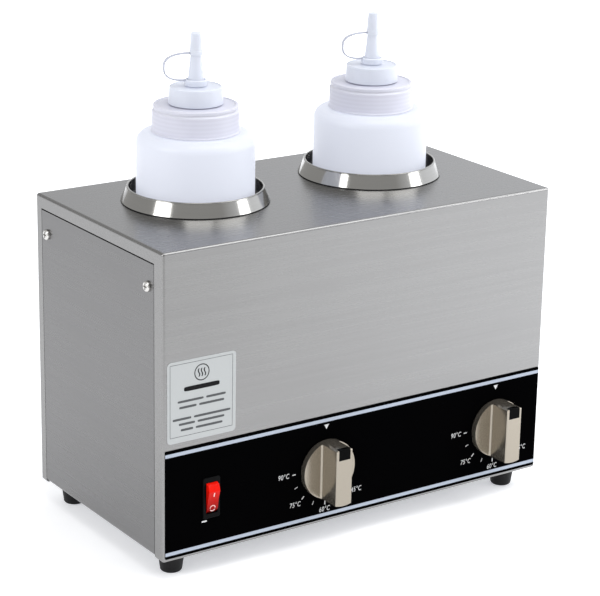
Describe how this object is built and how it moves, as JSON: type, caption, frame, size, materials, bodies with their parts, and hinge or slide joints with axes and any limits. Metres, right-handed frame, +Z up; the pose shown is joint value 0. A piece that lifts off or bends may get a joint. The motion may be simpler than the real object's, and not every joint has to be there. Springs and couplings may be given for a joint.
{
  "type": "twin squeeze bottle sauce warmer",
  "caption": "Countertop electric warmer: folded steel casing with conical-collared wells, lift-out squeeze bottles, thermostat knobs, a rocker switch and rubber feet.",
  "frame": {"origin": "on the floor under the centre of the whole object's box, knobs and inlet included", "axes": "+Z up, +X to the right seen from the front, -Y towards the control panel at the front"},
  "size_m": [0.3448, 0.209, 0.368],
  "materials": {
    "stainless": "fine horizontal brush",
    "screw_steel": "bright",
    "overlay_black": "smooth printed film",
    "plate_silver": "satin printed plate",
    "switch_black": "satin moulded",
    "rocker_red": "gloss, translucent",
    "contact_brass": "plated",
    "ceramic": "glazed",
    "wire_red": "silicone",
    "wire_blue": "silicone",
    "wire_green": "silicone",
    "foot_rubber": "matt",
    "collar_steel": "turned, circular brush",
    "dark_pot": "hard dark coat, satin",
    "heater_steel": "heat-tinted",
    "glass_fibre": "woven sleeve",
    "thermostat_body": "moulded",
    "copper": "drawn copper",
    "knob_champagne": "metallic lacquer",
    "pointer_black": "gloss",
    "bottle_plastic": "milky, translucent",
    "cap_plastic": "milky, translucent",
    "seal_foam": "soft white"
  },
  "bodies": {
    "casing": {"outer_wrapper": "stainless", "base_tray": "stainless", "retaining_tabs": "stainless", "side_screws": "screw_steel", "foot_screws": "screw_steel", "well_screws": "screw_steel", "heater_clamp_screws": "screw_steel", "control_overlay": "overlay_black", "info_plate": "plate_silver", "thermostat_screws": "screw_steel", "bulb_clips": "screw_steel", "switch_housing": "switch_black", "mains_inlet": "switch_black", "inlet_pins": "contact_brass", "inlet_screws": "screw_steel", "terminal_block": "ceramic", "terminal_screws": "screw_steel", "earth_stud": "screw_steel", "live_wires": "wire_red", "neutral_wires": "wire_blue", "earth_wire": "wire_green", "foot_front_left": "foot_rubber", "foot_front_right": "foot_rubber", "foot_back_left": "foot_rubber", "foot_back_right": "foot_rubber", "well_ring_left": "collar_steel", "well_ring_right": "collar_steel", "well_pot_left": "dark_pot", "well_pot_right": "dark_pot", "band_heater_left": "heater_steel", "band_heater_right": "heater_steel", "pot_sleeve_left": "glass_fibre", "pot_sleeve_right": "glass_fibre", "thermostat_left": "thermostat_body", "thermostat_right": "thermostat_body", "sensor_bulb_left": "copper", "sensor_bulb_right": "copper"},
    "switch_rocker": {"switch_rocker": "rocker_red"},
    "knob_left": {"knob_left": "knob_champagne", "knob_pointer_left": "pointer_black", "knob_shaft_left": "screw_steel"},
    "bottle_left": {"bottle_left": "bottle_plastic"},
    "lid_seal_left": {"lid_seal_left": "seal_foam"},
    "bottle_lid_left": {"bottle_lid_left": "cap_plastic"},
    "cap_seal_left": {"cap_seal_left": "seal_foam"},
    "nozzle_cap_left": {"nozzle_cap_left": "cap_plastic", "tether_ring_left": "cap_plastic", "tether_strap_left": "cap_plastic"},
    "tip_cap_left": {"tip_cap_left": "cap_plastic"},
    "knob_right": {"knob_right": "knob_champagne", "knob_pointer_right": "pointer_black", "knob_shaft_right": "screw_steel"},
    "bottle_right": {"bottle_right": "bottle_plastic"},
    "lid_seal_right": {"lid_seal_right": "seal_foam"},
    "bottle_lid_right": {"bottle_lid_right": "cap_plastic"},
    "cap_seal_right": {"cap_seal_right": "seal_foam"},
    "nozzle_cap_right": {"nozzle_cap_right": "cap_plastic", "tether_ring_right": "cap_plastic", "tether_strap_right": "cap_plastic"},
    "tip_cap_right": {"tip_cap_right": "cap_plastic"}
  },
  "joints": [
    {"name": "rocker_tilt", "type": "hinge", "parent": "casing", "child": "switch_rocker", "pos_m": [-0.131, -0.0783, 0.0585], "axis": [-1, 0, 0], "range_deg": [0, 24]},
    {"name": "knob_left_turn", "type": "hinge", "parent": "casing", "child": "knob_left", "pos_m": [-0.032, -0.0802, 0.0597], "axis": [0, 1, 0], "range_deg": [0, 270]},
    {"name": "bottle_left_lift", "type": "slide", "parent": "casing", "child": "bottle_left", "axis": [0, 0, 1], "range_m": [0, 0.18]},
    {"name": "lid_left_rise", "type": "slide", "parent": "bottle_left", "child": "lid_seal_left", "axis": [0, 0, 1], "range_m": [0, 0.0091]},
    {"name": "lid_left_turn", "type": "hinge", "parent": "lid_seal_left", "child": "bottle_lid_left", "pos_m": [-0.0784, 0.02655, 0.296], "axis": [0, 0, 1], "range_deg": [0, 1080]},
    {"name": "nozzle_left_rise", "type": "slide", "parent": "bottle_lid_left", "child": "cap_seal_left", "axis": [0, 0, 1], "range_m": [0, 0.0046]},
    {"name": "nozzle_left_turn", "type": "hinge", "parent": "cap_seal_left", "child": "nozzle_cap_left", "pos_m": [-0.0784, 0.02655, 0.3163], "axis": [0, 0, 1], "range_deg": [0, 540]},
    {"name": "tip_cap_left_pull", "type": "slide", "parent": "nozzle_cap_left", "child": "tip_cap_left", "axis": [0, 0, 1], "range_m": [0, 0.018], "deforming": ["tether_strap_left"]},
    {"name": "knob_right_turn", "type": "hinge", "parent": "casing", "child": "knob_right", "pos_m": [0.126, -0.0802, 0.0597], "axis": [0, 1, 0], "range_deg": [0, 270]},
    {"name": "bottle_right_lift", "type": "slide", "parent": "casing", "child": "bottle_right", "axis": [0, 0, 1], "range_m": [0, 0.18]},
    {"name": "lid_right_rise", "type": "slide", "parent": "bottle_right", "child": "lid_seal_right", "axis": [0, 0, 1], "range_m": [0, 0.0091]},
    {"name": "lid_right_turn", "type": "hinge", "parent": "lid_seal_right", "child": "bottle_lid_right", "pos_m": [0.0784, 0.02655, 0.296], "axis": [0, 0, 1], "range_deg": [0, 1080]},
    {"name": "nozzle_right_rise", "type": "slide", "parent": "bottle_lid_right", "child": "cap_seal_right", "axis": [0, 0, 1], "range_m": [0, 0.0046]},
    {"name": "nozzle_right_turn", "type": "hinge", "parent": "cap_seal_right", "child": "nozzle_cap_right", "pos_m": [0.0784, 0.02655, 0.3163], "axis": [0, 0, 1], "range_deg": [0, 540]},
    {"name": "tip_cap_right_pull", "type": "slide", "parent": "nozzle_cap_right", "child": "tip_cap_right", "axis": [0, 0, 1], "range_m": [0, 0.018], "deforming": ["tether_strap_right"]}
  ],
  "couplings": [
    {"joint": "lid_left_rise", "follows": "lid_left_turn", "m_per_rad": 0.00047746},
    {"joint": "nozzle_left_rise", "follows": "nozzle_left_turn", "m_per_rad": 0.00047746},
    {"joint": "lid_right_rise", "follows": "lid_right_turn", "m_per_rad": 0.00047746},
    {"joint": "nozzle_right_rise", "follows": "nozzle_right_turn", "m_per_rad": 0.00047746}
  ]
}
